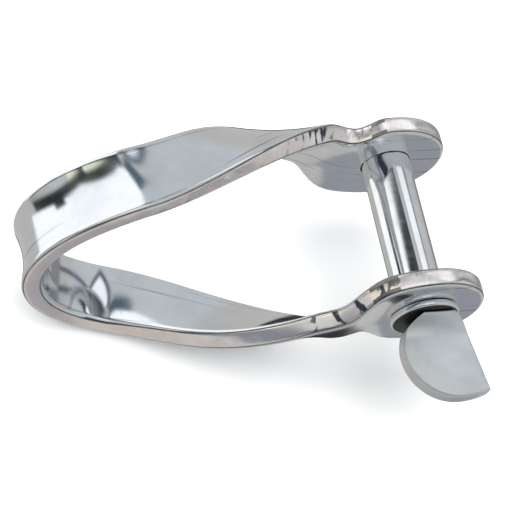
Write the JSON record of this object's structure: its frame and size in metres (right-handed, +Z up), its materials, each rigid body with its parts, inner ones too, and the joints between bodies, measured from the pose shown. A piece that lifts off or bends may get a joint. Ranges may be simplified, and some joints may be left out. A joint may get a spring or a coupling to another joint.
{
  "type": "twisted strip bow shackle",
  "caption": "Bow shackle of twisted stainless strip with round ears and a screw pin that has a collar and a flat thumb tab.",
  "frame": {"origin": "on the pin's axis, half-way across the jaw", "axes": "+X from the bow's crown towards the ears, +Y along the pin from its thumb tab to its thread, +Z up, square to both"},
  "size_m": [0.0449, 0.0297, 0.0224],
  "materials": {
    "polished_strip": "mirror polished stainless steel with satin edges",
    "polished_pin": "polished stainless steel",
    "satin_tab": "satin stainless steel"
  },
  "bodies": {
    "bow": {"shackle_bow": "polished_strip"},
    "pin": {"screw_pin": "polished_pin"},
    "tab": {"thumb_tab": "satin_tab"}
  },
  "joints": [
    {"name": "pin_withdraw", "type": "slide", "parent": "bow", "child": "pin", "axis": [0, -1, 0], "range_m": [0, 0.04]},
    {"name": "pin_turn", "type": "hinge", "parent": "pin", "child": "tab", "pos_m": [0, -0.0102, 0], "axis": [0, -1, 0], "range_deg": [0, 900]}
  ]
}
